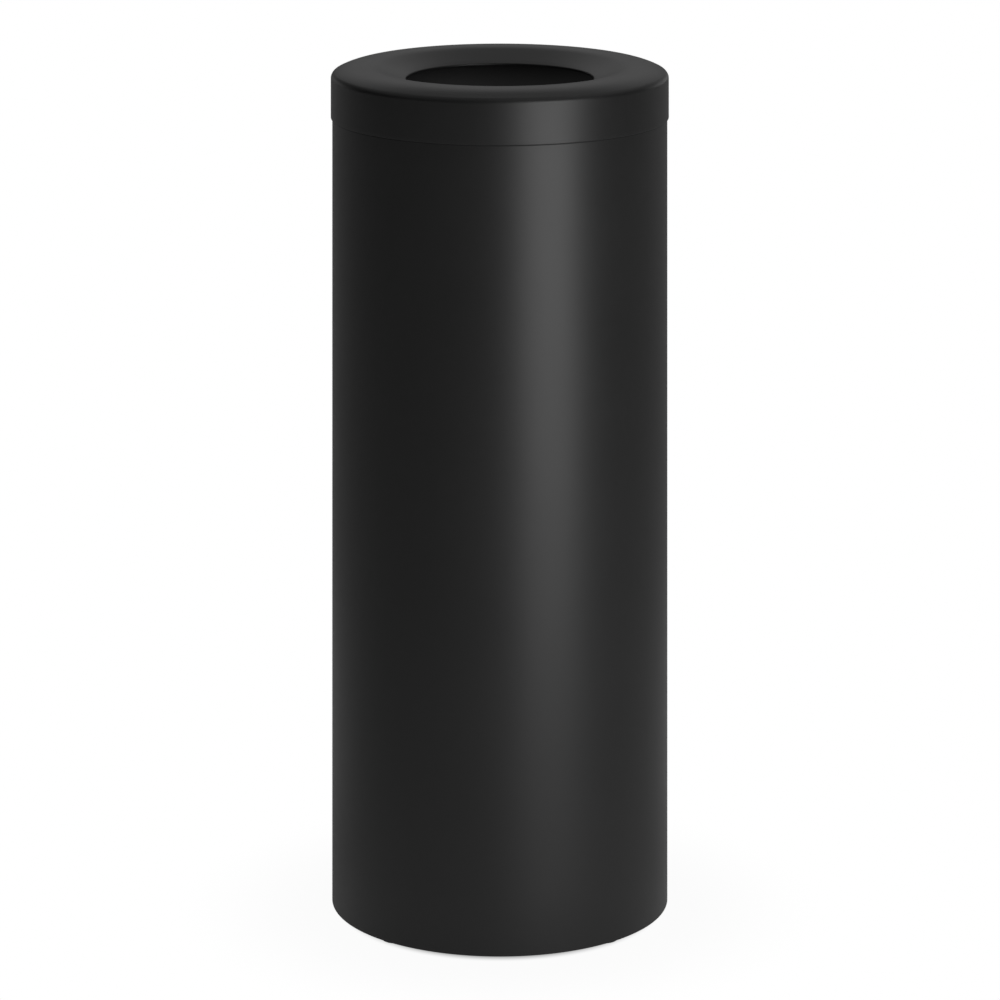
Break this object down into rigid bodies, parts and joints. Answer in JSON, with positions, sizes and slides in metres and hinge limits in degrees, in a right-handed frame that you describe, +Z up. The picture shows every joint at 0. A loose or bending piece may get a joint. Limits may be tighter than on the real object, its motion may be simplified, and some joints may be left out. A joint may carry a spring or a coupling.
{
  "type": "litter bin",
  "caption": "Tall round black powder-coated litter bin with a lift-off lid, a round open top, and a galvanised lift-out liner with a swinging wire handle.",
  "frame": {"origin": "on the floor under the centre of the bin, in the plane of the rubber feet's undersides", "axes": "+Z up along the bin's axis, -Y towards the front, +X to the right seen from the front"},
  "size_m": [0.3028, 0.3028, 0.7507],
  "materials": {
    "powder_coat": "satin black powder coat with a very fine texture",
    "galvanised": "hot-dip galvanised sheet with soft spangle",
    "zinc": "bright zinc-plated steel",
    "rubber": "matt black moulded rubber",
    "pvc": "black PVC tube, soft sheen"
  },
  "bodies": {
    "bin": {"body_shell": "powder_coat", "base_pan": "powder_coat", "foot_front_left": "rubber", "foot_front_right": "rubber", "foot_rear_left": "rubber", "foot_rear_right": "rubber", "foot_screw_front_left": "zinc", "foot_screw_front_right": "zinc", "foot_screw_rear_left": "zinc", "foot_screw_rear_right": "zinc", "foot_washer_front_left": "zinc", "foot_washer_front_right": "zinc", "foot_washer_rear_left": "zinc", "foot_washer_rear_right": "zinc", "foot_nut_front_left": "zinc", "foot_nut_front_right": "zinc", "foot_nut_rear_left": "zinc", "foot_nut_rear_right": "zinc"},
    "lid": {"lid": "powder_coat", "lid_buffer_ring": "rubber"},
    "liner": {"liner_wall": "galvanised", "liner_base": "galvanised", "liner_rim_wire": "zinc", "ear_left": "zinc", "ear_right": "zinc", "rivet_left_front": "zinc", "rivet_left_rear": "zinc", "rivet_right_front": "zinc", "rivet_right_rear": "zinc"},
    "bail": {"bail_handle": "zinc", "bail_grip": "pvc"}
  },
  "joints": [
    {"name": "liner_lift", "type": "slide", "parent": "bin", "child": "liner", "axis": [0, 0, 1], "range_m": [0, 0.72]},
    {"name": "lid_lift", "type": "slide", "parent": "liner", "child": "lid", "axis": [0, 0, 1], "range_m": [0, 0.2]},
    {"name": "bail_swing", "type": "hinge", "parent": "liner", "child": "bail", "pos_m": [0, 0, 0.588], "axis": [-1, 0, 0], "range_deg": [0, 212]}
  ]
}
